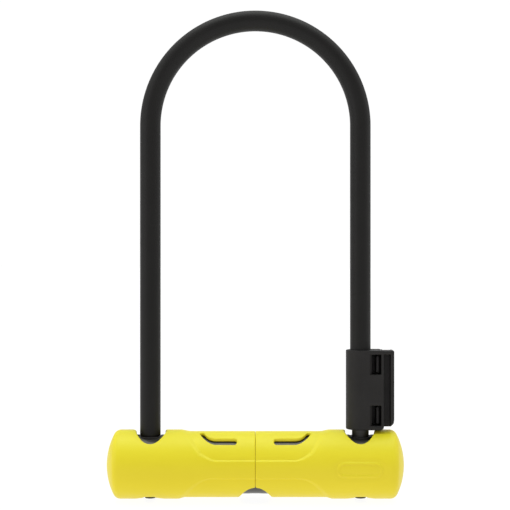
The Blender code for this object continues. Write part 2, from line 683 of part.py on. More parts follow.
def main():
    clear_scene()
    parts = make_collection("u_lock")
    cutters = make_collection("cutters", helper=True)
    make_tube(parts, cutters)
    shared_cutters = recess_cutters(cutters) + slot_cutters(cutters)
    for name, side in (("left", -1), ("right", 1)):
        make_cover("cover_" + name, side, shared_cutters, parts, cutters)
        make_plug("cover_plug_" + name, side, parts)
        make_ring("entry_ring_" + name, side, parts)
        make_end_plug("end_plug_" + name, side, parts)
        make_socket("foot_socket_" + name, side, parts, cutters)
        make_cross_pin("core_pin_" + name, side * CORE_PIN_X, parts)
        make_cross_pin("socket_pin_" + name, side * SOCKET_PIN_X, parts)
        make_core_screw("core_screw_" + name, side, parts)
        make_bolt("bolt_" + name, side, parts, cutters)
    make_core_base(parts, cutters)
    make_core_lid(parts, cutters)
    make_cylinder_body(parts, cutters)
    make_shutter(parts, cutters)
    make_barrel(parts, cutters)
    for index in range(DISC_COUNT):
        make_disc(index, parts, cutters)
    for index in range(DISC_COUNT - 1):
        make_spacer(index, parts, cutters)
    make_sidebar(parts)
    make_cam(parts, cutters)
    make_shackle_rod(parts, cutters)
    make_coating(parts, cutters)
    make_adapter_body(parts, cutters)
    make_adapter_clamp(parts, cutters)
    for name, z in zip(("lower", "upper"), CLAMP_SCREW_HEIGHTS):
        make_clamp_screw("clamp_screw_" + name, z, parts)
    bpy.context.view_layer.update()


main()
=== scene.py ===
"""Finished look of a bicycle U-lock: moulded covers, coated shackle, carrier adapter and the metal inside.

Shapes are worked out in millimetres from the crossbar's axis, X along it and Z up, and placed in the row
frame in metres. Moulded pieces are signed distance fields, negative inside, skinned by surface_net. Turned
and bent pieces are rings swept along a path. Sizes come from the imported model's boxes."""

import json
import math

import bmesh
import bpy
import numpy as np
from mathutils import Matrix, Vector


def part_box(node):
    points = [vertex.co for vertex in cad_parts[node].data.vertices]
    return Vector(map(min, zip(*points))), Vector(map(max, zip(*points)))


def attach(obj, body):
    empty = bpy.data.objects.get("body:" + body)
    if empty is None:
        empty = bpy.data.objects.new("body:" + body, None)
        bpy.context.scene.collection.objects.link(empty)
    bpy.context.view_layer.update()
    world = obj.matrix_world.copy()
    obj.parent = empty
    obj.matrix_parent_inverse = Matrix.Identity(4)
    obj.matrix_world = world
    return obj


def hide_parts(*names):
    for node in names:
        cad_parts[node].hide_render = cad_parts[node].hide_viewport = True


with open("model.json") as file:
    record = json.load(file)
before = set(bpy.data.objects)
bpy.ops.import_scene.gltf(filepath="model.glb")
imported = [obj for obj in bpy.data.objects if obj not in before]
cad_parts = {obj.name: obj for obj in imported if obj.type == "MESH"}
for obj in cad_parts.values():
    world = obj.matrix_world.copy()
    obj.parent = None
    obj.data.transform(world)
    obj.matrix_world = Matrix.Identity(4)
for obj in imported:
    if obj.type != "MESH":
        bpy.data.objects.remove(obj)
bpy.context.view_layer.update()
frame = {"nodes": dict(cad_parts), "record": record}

MM = 0.001


def box_mm(node):
    """A CAD node's lowest and highest corners in millimetres from the crossbar's axis."""
    low, high = (np.array(corner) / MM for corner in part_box(node))
    return low - AXIS, high - AXIS


cover_low, cover_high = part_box("cover_right")
AXIS = np.array([0.0, 0.0, (cover_low.z + cover_high.z) / 2 / MM])
GAP = 0.3

# Crossbar
COVER_HALF = box_mm("cover_right")[1][0]
COVER_R = box_mm("cover_right")[1][2]
WAIST_R = COVER_R - 0.9
TUBE_HALF = box_mm("crossbar_tube")[1][0]
TUBE_R = box_mm("crossbar_tube")[1][2]
TUBE_BORE_R = TUBE_R - 2.8
COVER_BORE_R = TUBE_R + GAP
LEG_OPENING, LEG_OPENING_X, LEG_OPENING_BACK = (8.45, 13.7, 2.15), 59.4, 14.8
KEY_OPENING = (9.35, 14.6, 2.3)
PLUG_R, PLUG_SLOT_HALF = 3.15, 8.8
ENTRY_RING_R = 7.2
CROSS_PINS_X, CROSS_PIN_HOLE_R, CROSS_PIN_Z = (13.0, 51.6), 1.8, -6

# Shackle
LEG_X = 60.2
ROD_R = box_mm("shackle_rod")[1][0] - LEG_X
COATING_R = box_mm("shackle_coating")[1][0] - LEG_X
FOOT_Z = box_mm("shackle_rod")[0][2]
ARCH_Z = box_mm("shackle_coating")[1][2] - COATING_R - LEG_X
COATING_LEFT_Z = box_mm("shackle_coating")[0][2]
COATING_RIGHT_Z = 23.0
ARCH_LENGTH = math.pi * LEG_X
SIDE_LENGTH = ARCH_Z - FOOT_Z

# Adapter
ADAPTER_LOW = box_mm("adapter_body")[0]
ADAPTER_HIGH = box_mm("adapter_body")[1]
SLEEVE_R = LEG_X - ADAPTER_LOW[0]
BLOCK_X, CLAMP_X = 73.2, 72.4
GROOVE_X, RAIL_X = 76.8, ADAPTER_HIGH[0]
WEB_LOW, RAIL_LOW, CAP_LOW, RAIL_BACK_Y = 21.9, 22.5, 63.2, 2.0
WINDOW_LEFT, WINDOW_RIGHT = 64.8, 71.5
WINDOWS = ((51.9, 63.2), (22.7, 34.2))
SCREW_X, SCREW_HEIGHTS = 68.4, (38.0, 47.0)


# Distance fields ------------------------------------------------------------------------------------------


def smooth_max(a, b, k):
    """The larger of two fields, with the edge between them rounded over about k."""
    blend = np.maximum(k - np.abs(a - b), 0.0) / k
    return np.maximum(a, b) + blend * blend * k / 4


def smooth_min(a, b, k):
    return -smooth_max(-a, -b, k)


def cut(field, cutter, k):
    return smooth_max(field, -cutter, k)


def ease(value, width):
    """0 to 1 as value goes from -width/2 to width/2."""
    t = np.clip(value / width + 0.5, 0.0, 1.0)
    return t * t * (3 - 2 * t)


def ellipse(u, v, a, b, power=2.0):
    """Distance, nearly, to an upright elliptical wall with half-axes a and b, squarer with a higher power."""
    k0 = ((np.abs(u) / a) ** power + (np.abs(v) / b) ** power) ** (1 / power)
    k1 = np.hypot(u / a**2, v / b**2)
    return k0 * (k0 - 1) / np.maximum(k1, 1e-6)


def block(x, y, z, low, high, radius):
    """A box with rounded edges."""
    sides = []
    for value, a, b in zip((x, y, z), low, high):
        sides.append(np.abs(value - (a + b) / 2) - (b - a) / 2 + radius)
    outside = np.sqrt(sum(np.maximum(side, 0.0) ** 2 for side in sides))
    inside = np.maximum(np.maximum(sides[0], sides[1]), sides[2])
    return outside + np.minimum(inside, 0.0) - radius


def extruded(section, along, low, high, radius):
    """A section's distance field run between two heights, with rounded end edges."""
    across = section + radius
    ends = np.abs(along - (low + high) / 2) - (high - low) / 2 + radius
    outside = np.hypot(np.maximum(across, 0.0), np.maximum(ends, 0.0))
    return outside + np.minimum(np.maximum(across, ends), 0.0) - radius


def polyline(u, v, points):
    """Distance to an open line through the points."""
    nearest = np.full(np.shape(u), 1e9)
    for (u0, v0), (u1, v1) in zip(points, points[1:]):
        du, dv = u1 - u0, v1 - v0
        t = np.clip(((u - u0) * du + (v - v0) * dv) / (du * du + dv * dv), 0.0, 1.0)
        nearest = np.minimum(nearest, np.hypot(u - u0 - t * du, v - v0 - t * dv))
    return nearest


def surface_net(field, low, high, cell):
    """Vertices and quads of the surface where the field is zero, drawn onto it by Newton steps."""
    axes = [np.arange(a - 1.5 * cell, b + 2.5 * cell, cell) for a, b in zip(low, high)]
    values = field(*np.meshgrid(*axes, indexing="ij", sparse=True))
    shape = values.shape
    strides = (shape[1] * shape[2], shape[2], 1)
    owners, places, quads = [], [], []
    for axis in range(3):
        others = [i for i in range(3) if i != axis]
        here = np.moveaxis(values, axis, 0)
        crossing = (here[:-1] < 0) != (here[1:] < 0)
        index = np.argwhere(crossing)
        start = here[:-1][crossing]
        share = start / (start - here[1:][crossing])
        grid_index = np.empty_like(index)
        grid_index[:, axis] = index[:, 0]
        grid_index[:, others[0]], grid_index[:, others[1]] = index[:, 1], index[:, 2]
        place = grid_index.astype(float)
        place[:, axis] += share
        corner = grid_index @ np.array(strides)
        step_a, step_b = strides[others[0]], strides[others[1]]
        around = np.stack([corner - step_a - step_b, corner - step_b, corner, corner - step_a], axis=1)
        for column in range(4):
            owners.append(around[:, column])
            places.append(place)
        outward = (start < 0) if axis != 1 else (start >= 0)
        quads.append(np.where(outward[:, None], around, around[:, ::-1]))
    owners, places, quads = np.concatenate(owners), np.concatenate(places), np.concatenate(quads)
    used, inverse = np.unique(owners, return_inverse=True)
    count = np.bincount(inverse)
    points = np.stack([np.bincount(inverse, places[:, i]) / count for i in range(3)], axis=1)
    points = points * cell + np.array([axis[0] for axis in axes])
    quads = np.searchsorted(used, quads)
    for _ in range(4):
        value, slope = value_and_slope(field, points)
        move = -value[:, None] * slope / np.maximum((slope**2).sum(axis=1), 0.05)[:, None]
        length = np.linalg.norm(move, axis=1, keepdims=True)
        points = points + move * np.minimum(1.0, 0.4 * cell / np.maximum(length, 1e-9))
    return points, quads


def value_and_slope(field, points, step=0.02):
    slope = np.empty_like(points)
    for i in range(3):
        ahead, behind = points.copy(), points.copy()
        ahead[:, i] += step
        behind[:, i] -= step
        slope[:, i] = (field(*ahead.T) - field(*behind.T)) / (2 * step)
    return field(*points.T), slope


# Meshes ---------------------------------------------------------------------------------------------------


def quad_object(name, points, quads, normals=None):
    """An object from points in millimetres from the crossbar's axis and an array of quads."""
    mesh = bpy.data.meshes.new(name)
    mesh.vertices.add(len(points))
    mesh.vertices.foreach_set("co", ((points + AXIS) * MM).astype(np.float32).ravel())
    mesh.loops.add(quads.size)
    mesh.loops.foreach_set("vertex_index", quads.astype(np.int32).ravel())
    mesh.polygons.add(len(quads))
    mesh.polygons.foreach_set("loop_start", np.arange(0, quads.size, 4, dtype=np.int32))
    mesh.update(calc_edges=True)
    mesh.shade_smooth()
    if normals is not None:
        lengths = np.maximum(np.linalg.norm(normals, axis=1, keepdims=True), 1e-9)
        mesh.normals_split_custom_set_from_vertices((normals / lengths).tolist())
    obj = bpy.data.objects.new(name, mesh)
    bpy.context.scene.collection.objects.link(obj)
    return obj


def moulded(name, field, low, high, cell, mirror=False):
    points, quads = surface_net(field, low, high, cell)
    normals = value_and_slope(field, points)[1]
    if mirror:
        points[:, 0] *= -1
        normals[:, 0] *= -1
        quads = quads[:, ::-1]
    return quad_object(name, points, quads, normals)


def swept(name, path, outline, sides=64, closed=True, sharp=30.0):
    """Rings round a path. The outline is (distance along the path, radius) pairs, in the order of the skin:
    a closed outline is a tube's wall, an open one is a solid bar whose ends close to a point."""
    angles = np.linspace(0, 2 * math.pi, sides, endpoint=False)
    rings = []
    for distance, radius in outline:
        centre, across, up = (np.array(vector, float) for vector in path(distance))
        turn = np.cos(angles)[:, None] * across + np.sin(angles)[:, None] * up
        rings.append(centre + radius * turn)
    points = np.concatenate(rings)
    count = len(outline)
    first = np.arange(count if closed else count - 1)
    second = (first + 1) % count
    around = np.arange(sides)
    beside = (around + 1) % sides
    a = (first[:, None] * sides + around).ravel()
    b = (first[:, None] * sides + beside).ravel()
    c = (second[:, None] * sides + beside).ravel()
    d = (second[:, None] * sides + around).ravel()
    obj = quad_object(name, points, np.stack([a, b, c, d], axis=1))
    bm = bmesh.new()
    bm.from_mesh(obj.data)
    bmesh.ops.remove_doubles(bm, verts=bm.verts, dist=1e-7)
    bmesh.ops.recalc_face_normals(bm, faces=bm.faces)
    bm.to_mesh(obj.data)
    bm.free()
    obj.data.shade_smooth()
    obj.data.set_sharp_from_angle(angle=math.radians(sharp))
    return obj


def upright(x, y=0.0):
    """A path straight up at x, y: its distance is the height."""
    return lambda distance: ((x, y, distance), (1, 0, 0), (0, 1, 0))


def lengthwise(distance):
    """A path along the crossbar: its distance is x."""
    return (distance, 0, 0), (0, 1, 0), (0, 0, 1)


def shackle_path(distance):
    """From the left foot up the leg, over the arch and down to the right foot."""
    if distance <= SIDE_LENGTH:
        return (-LEG_X, 0, FOOT_Z + distance), (1, 0, 0), (0, 1, 0)
    if distance >= SIDE_LENGTH + ARCH_LENGTH:
        down = distance - SIDE_LENGTH - ARCH_LENGTH
        return (LEG_X, 0, ARCH_Z - down), (-1, 0, 0), (0, 1, 0)
    angle = (distance - SIDE_LENGTH) / LEG_X
    inward = (math.cos(angle), 0, -math.sin(angle))
    return (-LEG_X * inward[0], 0, ARCH_Z - LEG_X * inward[2]), inward, (0, 1, 0)


def rounded(corners, steps=4):
    """An outline of (distance, radius, fillet) corners, each rounded by its fillet."""
    count = len(corners)
    found = []
    for i, (s, r, fillet) in enumerate(corners):
        here = Vector((s, r))
        if fillet <= 0:
            found.append((s, r))
            continue
        before = (Vector(corners[i - 1][:2]) - here).normalized()
        after = (Vector(corners[(i + 1) % count][:2]) - here).normalized()
        start, end = here + before * fillet, here + after * fillet
        for j in range(steps + 1):
            t = j / steps
            point = start * (1 - t) ** 2 + here * 2 * t * (1 - t) + end * t**2
            found.append((point.x, point.y))
    return found


def carve(obj, tool, operation="DIFFERENCE"):
    """Applies one Boolean and removes its tool."""
    modifier = obj.modifiers.new("carve", "BOOLEAN")
    modifier.operation = operation
    modifier.object = tool
    modifier.solver = "EXACT"
    bpy.context.view_layer.update()
    graph = bpy.context.evaluated_depsgraph_get()
    mesh = bpy.data.meshes.new_from_object(obj.evaluated_get(graph))
    obj.modifiers.clear()
    obj.data = mesh
    bpy.data.objects.remove(tool)
    obj.data.shade_smooth()
    obj.data.set_sharp_from_angle(angle=math.radians(30))


def bar(start, end, radius, sides=48):
    """A plain round bar used to drill a hole."""
    start, end = Vector(start), Vector(end)
    along = (end - start).normalized()
    across = along.orthogonal().normalized()
    up = along.cross(across)
    length = (end - start).length

    def path(distance):
        return start + along * distance, across, up

    return swept("drill", path, [(0, 0), (0, radius), (length, radius), (length, 0)], sides, closed=False)


def brick(low, high):
    bm = bmesh.new()
    bmesh.ops.create_cube(bm, size=1.0)
    for vert in bm.verts:
        for i in range(3):
            vert.co[i] = ((low[i] + high[i]) / 2 + vert.co[i] * (high[i] - low[i]) + AXIS[i]) * MM
    mesh = bpy.data.meshes.new("brick")
    bm.to_mesh(mesh)
    bm.free()
    obj = bpy.data.objects.new("brick", mesh)
    bpy.context.scene.collection.objects.link(obj)
    return obj


def soften(obj, width, segments=3, angle=35):
    """A fine bevel on the sharp edges."""
    bevel = obj.modifiers.new("soft_edges", "BEVEL")
    bevel.width = width * MM
    bevel.segments = segments
    bevel.limit_method = "ANGLE"
    bevel.angle_limit = math.radians(angle)
    bevel.harden_normals = True


# Materials ------------------------------------------------------------------------------------------------


def surface(name, colours, roughness, metallic=0.0, specular=0.5, grain=(900, 0.05), blotch=60,
            stretch=(1, 1, 1), scratches=0.0):
    """A procedural surface: colour that drifts between two tones, uneven roughness, and a fine grain."""
    material = bpy.data.materials.new(name)
    material.use_nodes = True
    nodes, links = material.node_tree.nodes, material.node_tree.links
    shader = nodes["Principled BSDF"]
    shader.inputs["Metallic"].default_value = metallic
    shader.inputs["Specular IOR Level"].default_value = specular
    place = nodes.new("ShaderNodeTexCoord")
    mapping = nodes.new("ShaderNodeMapping")
    mapping.inputs["Scale"].default_value = stretch
    links.new(place.outputs["Object"], mapping.inputs["Vector"])

    def noise(scale, detail, rough=0.55):
        node = nodes.new("ShaderNodeTexNoise")
        node.inputs["Scale"].default_value = scale
        node.inputs["Detail"].default_value = detail
        node.inputs["Roughness"].default_value = rough
        links.new(mapping.outputs["Vector"], node.inputs["Vector"])
        return node

    drift = noise(blotch, 4)
    ramp = nodes.new("ShaderNodeValToRGB")
    ramp.color_ramp.elements[0].position = 0.32
    ramp.color_ramp.elements[1].position = 0.68
    for element, colour in zip(ramp.color_ramp.elements, colours):
        element.color = (*colour, 1.0)
    links.new(drift.outputs["Fac"], ramp.inputs["Fac"])
    links.new(ramp.outputs["Color"], shader.inputs["Base Color"])

    uneven = noise(blotch * 4, 6, 0.65)
    spread = nodes.new("ShaderNodeMapRange")
    spread.inputs["From Min"].default_value = 0.3
    spread.inputs["From Max"].default_value = 0.7
    spread.inputs["To Min"].default_value = roughness[0]
    spread.inputs["To Max"].default_value = roughness[1]
    links.new(uneven.outputs["Fac"], spread.inputs["Value"])
    links.new(spread.outputs["Result"], shader.inputs["Roughness"])

    fine = noise(grain[0], 3, 0.6)
    height = fine.outputs["Fac"]
    if scratches:
        lines = nodes.new("ShaderNodeTexVoronoi")
        lines.feature = "DISTANCE_TO_EDGE"
        lines.inputs["Scale"].default_value = grain[0] / 6
        links.new(mapping.outputs["Vector"], lines.inputs["Vector"])
        sum_node = nodes.new("ShaderNodeMath")
        sum_node.operation = "MULTIPLY_ADD"
        sum_node.inputs[1].default_value = scratches
        links.new(lines.outputs["Distance"], sum_node.inputs[0])
        links.new(height, sum_node.inputs[2])
        height = sum_node.outputs["Value"]
    bump = nodes.new("ShaderNodeBump")
    bump.inputs["Strength"].default_value = grain[1]
    bump.inputs["Distance"].default_value = 0.0002
    links.new(height, bump.inputs["Height"])
    links.new(bump.outputs["Normal"], shader.inputs["Normal"])
    return material


LOOKS = {
    "yellow_plastic": surface(
        "yellow_plastic", ((0.81, 0.660, 0.019), (0.83, 0.680, 0.023)), (0.36, 0.46), specular=0.28,
        grain=(2600, 0.10), blotch=26,
    ),
    "black_plastic": surface(
        "black_plastic", ((0.0105, 0.0095, 0.0090), (0.0145, 0.0132, 0.0126)), (0.46, 0.60), specular=0.28,
        grain=(3800, 0.35), blotch=70,
    ),
    "black_vinyl": surface(
        "black_vinyl", ((0.0068, 0.0063, 0.0058), (0.0092, 0.0087, 0.0080)), (0.42, 0.54), specular=0.22,
        grain=(2400, 0.22), blotch=45,
    ),
    "tube_steel": surface(
        "tube_steel", ((0.085, 0.083, 0.076), (0.12, 0.117, 0.107)), (0.26, 0.38), metallic=1.0,
        grain=(1600, 0.10), blotch=80, stretch=(0.08, 1, 1), scratches=0.2,
    ),
    "hardened_steel": surface(
        "hardened_steel", ((0.42, 0.42, 0.43), (0.52, 0.52, 0.53)), (0.24, 0.38), metallic=1.0,
        grain=(2200, 0.12), blotch=90, stretch=(1, 1, 0.1), scratches=0.3,
    ),
    "shackle_steel": surface(
        "shackle_steel", ((0.030, 0.029, 0.028), (0.046, 0.044, 0.042)), (0.38, 0.5), metallic=0.6,
        grain=(1800, 0.16), blotch=60,
    ),
    "dark_steel": surface(
        "dark_steel", ((0.06, 0.06, 0.065), (0.10, 0.10, 0.105)), (0.3, 0.44), metallic=1.0,
        grain=(2600, 0.12), blotch=120,
    ),
    "die_cast": surface(
        "die_cast", ((0.46, 0.47, 0.49), (0.56, 0.57, 0.59)), (0.42, 0.6), metallic=1.0,
        grain=(1300, 0.45), blotch=70,
    ),
    "brass": surface(
        "brass", ((0.60, 0.42, 0.16), (0.74, 0.54, 0.24)), (0.24, 0.4), metallic=1.0,
        grain=(2400, 0.14), blotch=110, stretch=(1, 1, 0.12), scratches=0.25,
    ),
}


def dress(obj, look):
    obj.data.materials.clear()
    obj.data.materials.append(LOOKS[look])


def place(obj, body, slot, nodes, look=None):
    """Gives a finished piece its material, named by look or else by slot, parents it to its body and hides
    the CAD nodes that it stands for.
    """
    dress(obj, look or slot)
    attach(obj, body)
    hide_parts(*nodes)
    return obj


# Crossbar -------------------------------------------------------------------------------------------------

DOME_R = 38.0
BADGE_X, BADGE_Z, BADGE_STRAIGHT, BADGE_R = 58.6, -0.6, 8.5, 3.55
# Side, level height, where it turns, growth and power of the curve, and the step near its end
BAND_EDGES = ((1, 4.6, 22.75, 0.17, 1.45, 3.9), (-1, 5.55, 24.5, 0.0425, 2.0, 0.0))
BAND_STEP_AT, BAND_STEP_RUN = 11.8, 7.0
SCOOP_R, SCOOP_DEPTH = 17.0, 1.3


def panel_share(x, z):
    """1 in the sunk panels above and below the raised band, 0 on it and on the ends."""
    total = 0.0
    for side, level, turn, growth, power, step in BAND_EDGES:
        over = np.maximum(x - turn, 0.0)
        past_step = over - BAND_STEP_AT
        edge = level + growth * over**power + step * ease(past_step, BAND_STEP_RUN)
        on_step = np.abs(past_step) < BAND_STEP_RUN / 2
        steepness = growth * power * over ** (power - 1) + step / BAND_STEP_RUN * on_step
        inside = (side * z - edge) / np.sqrt(1 + steepness**2)
        total = total + ease(inside, 0.9 + 2.0 * np.clip(over / 12.0, 0.0, 1.0))
    return total


def slot_field(x, y):
    """A slot seen from above: level beside the crossbar's ridge, then turning towards it and narrowing."""
    start, bend, beside, radius, turn = 10.5, 22.5, 11.65, 7.5, math.radians(65)
    line = [(start - 4.0, -beside)]
    for i in range(9):
        angle = turn * i / 8
        line.append((bend + radius * math.sin(angle), radius * (1 - math.cos(angle)) - beside))
    u, v = line[-1]
    line.append((u + 2.4 * math.cos(turn), v + 2.4 * math.sin(turn)))
    half_width = 1.7 - 0.5 * ease(x - bend - 3.5, 7.0)
    return smooth_max(polyline(x, -np.abs(y), line) - half_width, start - x, 1.6)


def badge_sink(x, y, z):
    """How far the front of one cover is sunk round and inside a blank oval frame."""
    across = np.hypot(np.maximum(np.abs(x - BADGE_X) - BADGE_STRAIGHT, 0.0), z - BADGE_Z)
    ridge = ease(0.7 - np.abs(across - BADGE_R), 0.5)
    return 0.28 * ease(BADGE_R + 2.4 - across, 2.6) * (1 - ridge) * (y < 0)


def leg_opening(x, y, z):
    """The hole in the cover's top round a leg: an ellipse in front and a squarer half behind."""
    front = ellipse(x - LEG_OPENING_X, y, *LEG_OPENING)
    width, level = LEG_OPENING[0] + 0.1, 0.0 * (x + y)
    back = block(x, y, level, (LEG_X - width, -30, -50), (LEG_X + width, LEG_OPENING_BACK, 50), 5.0)
    share = ease(y, 4.0)
    return np.maximum(front * (1 - share) + back * share, 6.0 - z)


def cover_field(with_badge):
    def field(x, y, z):
        r = np.hypot(y, z)
        dome = np.hypot(np.maximum(x - COVER_HALF + DOME_R, 0.0), r) - DOME_R
        outer = smooth_max(r - COVER_R, dome, 2.4) + (COVER_R - WAIST_R) * panel_share(x, z)
        if with_badge:
            outer = outer + badge_sink(x, y, z)
        outer = smooth_max(outer, 0.04 - x, 0.6)
        outer = cut(outer, np.maximum(slot_field(x, y), 2.0 - z), 0.5)
        outer = cut(outer, leg_opening(x, y, z), 1.3)
        outer = cut(outer, np.maximum(ellipse(x, y, *KEY_OPENING), z + 4.0), 0.7)
        scoop = np.hypot(x - LEG_X, z + COVER_R + SCOOP_R - SCOOP_DEPTH) - SCOOP_R
        outer = cut(outer, scoop, 1.4)
        low, high = (LEG_X - PLUG_R - GAP, -PLUG_SLOT_HALF, -40), (LEG_X + PLUG_R + GAP, PLUG_SLOT_HALF, -4)
        outer = cut(outer, block(x, y, z, low, high, 1.2), 0.4)
        bore = np.maximum(r - COVER_BORE_R, x - TUBE_HALF - 1.0)
        return cut(outer, bore, 0.6)

    return field


def make_covers():
    cell = 0.45
    made = []
    for name, mirror in (("cover_left", True), ("cover_right", False)):
        high = (COVER_HALF, COVER_R + 0.3, COVER_R)
        low = (0.0, -COVER_R - 0.3, -COVER_R)
        cover = moulded(name + "_shell", cover_field(not mirror), low, high, cell, mirror)
        made.append(place(cover, "crossbar", "yellow_plastic", [name]))
    return made


def make_tube():
    ends = [(-TUBE_HALF, TUBE_BORE_R, 0.5), (-TUBE_HALF, TUBE_R, 0.8), (TUBE_HALF, TUBE_R, 0.8)]
    tube = swept("tube_shell", lengthwise, rounded(ends + [(TUBE_HALF, TUBE_BORE_R, 0.5)]), sides=160)
    drills = [((0, 0, -20), (0, 0, -5), 8.5, 64)]
    for side in (-1, 1):
        x = side * LEG_X
        drills += [((x, 0, 5), (x, 0, 20), 7.5, 64), ((x, 0, -20), (x, 0, -10), PLUG_R + 0.35, 40)]
        for pin_x in CROSS_PINS_X:
            front, back = ((side * pin_x, y, CROSS_PIN_Z) for y in (-20, 20))
            drills.append((front, back, CROSS_PIN_HOLE_R, 24))
    for start, end, radius, sides in drills:
        carve(tube, bar(start, end, radius, sides))
    place(tube, "crossbar", "tube_steel", ["crossbar_tube"])


def make_leg_trim(name, side):
    """The entry ring round a leg, and the plug under the crossbar below it."""
    x = side * LEG_X
    low, high = (box_mm("entry_ring_" + name)[i][2] for i in (0, 1))
    bore = ROD_R + GAP
    ring = [(low, bore, 0.2), (low, ENTRY_RING_R, 0.2), (high, ENTRY_RING_R, 0.5), (high, bore, 0.5)]
    entry_ring = swept("entry_lip_" + name, upright(x), rounded(ring), sides=72)
    place(entry_ring, "crossbar", "black_plastic", ["entry_ring_" + name])
    low, high = (box_mm("cover_plug_" + name)[i][2] for i in (0, 1))
    outline = [(high, 0), (high, PLUG_R)]
    outline += rounded([(high, PLUG_R, 0), (low, PLUG_R, 0.5), (low, 1.6, 0)])[1:]
    outline += [(low + 0.35, 1.2), (low + 0.35, 0)]
    plug = swept("plug_" + name, upright(x), outline, sides=48, closed=False)
    place(plug, "crossbar", "black_plastic", ["cover_plug_" + name])


# Shackle --------------------------------------------------------------------------------------------------


def stations(start, end, straight=12.0, arch=1.6):
    """Distances along the shackle between two ends: far apart on the legs, close together on the arch."""
    found = []
    distance = start
    while distance < end - 0.5:
        found.append(distance)
        on_arch = SIDE_LENGTH - 1 < distance < SIDE_LENGTH + ARCH_LENGTH + 1
        distance += arch if on_arch else min(straight, abs(SIDE_LENGTH - distance) + 0.8)
    return found[1:]


def make_shackle():
    total = 2 * SIDE_LENGTH + ARCH_LENGTH
    start, end = COATING_LEFT_Z - FOOT_Z, total - (COATING_RIGHT_Z - FOOT_Z)
    outer = [(s, COATING_R) for s in stations(start + 1, end - 1)]
    inner = [(s, ROD_R + GAP) for s in reversed(stations(start + 1, end - 1))]
    left_lip = rounded([(start, ROD_R + GAP, 0), (start, COATING_R, 0.55), (start + 1, COATING_R, 0)])
    right_lip = rounded([(end - 1, COATING_R, 0), (end, COATING_R, 0.55), (end, ROD_R + GAP, 0)])
    coating = swept("shackle_sleeve", shackle_path, left_lip + outer + right_lip + inner, sides=72)
    place(coating, "shackle", "black_vinyl", ["shackle_coating"])

    foot = [(0, 0), (0, ROD_R - 1.9), (0.5, ROD_R - 1.2), (1.6, ROD_R)]
    other = [(total - s, r) for s, r in reversed(foot)]
    rod = swept("shackle_bar", shackle_path, foot + [(s, ROD_R) for s in stations(1.6, total - 1.6)] + other,
                sides=64, closed=False)
    for side in (-1, 1):
        edge = side * (LEG_X - ROD_R + 4.0)
        away = side * (LEG_X - ROD_R - 2.0)
        carve(rod, brick((min(edge, away), -8, 1.6), (max(edge, away), 8, 8.8)))
    soften(rod, 0.25)
    place(rod, "shackle", "hardened_steel", ["shackle_rod"], look="shackle_steel")


# Adapter --------------------------------------------------------------------------------------------------


def lower_corner(x, z, corner_x, corner_z, radius):
    """Trims a piece's lower outer corner to a radius."""
    beyond = (x > corner_x - radius) & (z < corner_z + radius)
    return np.where(beyond, np.hypot(x - corner_x + radius, z - corner_z - radius) - radius, -1e3)


def sleeve(x, y, z, block_x):
    """The sleeve round the leg with the block beside it."""
    ring = np.hypot(x - LEG_X, y) - SLEEVE_R
    beside = block(x, y, 0.0 * (x + y), (LEG_X, -SLEEVE_R, -50), (block_x, SLEEVE_R, 50), 0.9)
    shape = extruded(np.minimum(ring, beside), z, ADAPTER_LOW[2], ADAPTER_HIGH[2], 0.6)
    return smooth_max(shape, lower_corner(x, z, block_x, ADAPTER_LOW[2], 2.3), 0.5)


def rail(x, y, z):
    """The T-shaped rail: a web, a flange, and a cap that closes the groove between them at the top."""
    top = ADAPTER_HIGH[2]
    web = block(x, y, z, (72.0, -4.0, WEB_LOW), (GROOVE_X + 1.0, -1.0, CAP_LOW + 1.0), 0.6)
    flange = block(x, y, z, (GROOVE_X, -SLEEVE_R, RAIL_LOW), (RAIL_X, RAIL_BACK_Y, top), 0.7)
    flange = smooth_max(flange, lower_corner(x, z, RAIL_X, RAIL_LOW, 3.2), 0.5)
    cap = block(x, y, z, (72.0, -SLEEVE_R, CAP_LOW), (RAIL_X, RAIL_BACK_Y, top), 0.7)
    cap = smooth_max(cap, np.hypot(np.maximum(x - RAIL_X + 1.3, 0), np.maximum(z - top + 1.3, 0)) - 1.3, 0.5)
    return smooth_min(np.minimum(flange, cap), web, 0.6)


def adapter_body_field(x, y, z):
    shape = cut(sleeve(x, y, z, BLOCK_X), block(x, y, z, (40, 0, 0), (CLAMP_X + GAP, 30, 90), 0.1), 0.4)
    shape = np.minimum(shape, rail(x, y, z))
    shape = cut(shape, np.hypot(x - LEG_X, y) - COATING_R - GAP, 0.5)
    slope = (WINDOW_LEFT + np.clip(y + SLEEVE_R, 0.0, 1.5) - x) * 0.8
    for bottom, top in WINDOWS:
        window = block(x, y, z, (LEG_X, -20, bottom), (WINDOW_RIGHT, 2, top), 0.4)
        shape = cut(shape, np.maximum(window, slope), 0.6)
    for height in SCREW_HEIGHTS:
        hole = np.maximum(np.hypot(x - SCREW_X, z - height) - 1.4, -5.4 - y)
        shape = cut(shape, hole, 0.3)
    return shape


def adapter_clamp_field(x, y, z):
    shape = sleeve(x, y, z, CLAMP_X)
    for bottom, top in ((26.0, 33.0), (52.0, 59.0)):
        shape = cut(shape, block(x, y, z, (62.5, SLEEVE_R - 0.8, bottom), (69.0, 20, top), 0.4), 0.5)
    shape = smooth_max(shape, GAP - y, 0.4)
    for bottom, top in WINDOWS:
        hook = block(x, y, z, (68.7, -5.4, bottom + 0.5), (WINDOW_RIGHT - 0.7, 3.0, top - 0.5), 0.9)
        shape = smooth_min(shape, hook, 0.4)
    shape = cut(shape, np.hypot(x - LEG_X, y) - COATING_R - GAP, 0.5)
    for height in SCREW_HEIGHTS:
        from_screw = np.hypot(x - SCREW_X, z - height)
        shape = cut(shape, np.maximum(from_screw - 1.4, -3.0 - y), 0.3)
        shape = cut(shape, np.maximum(from_screw - 2.4, 6.2 - y), 0.4)
    return shape


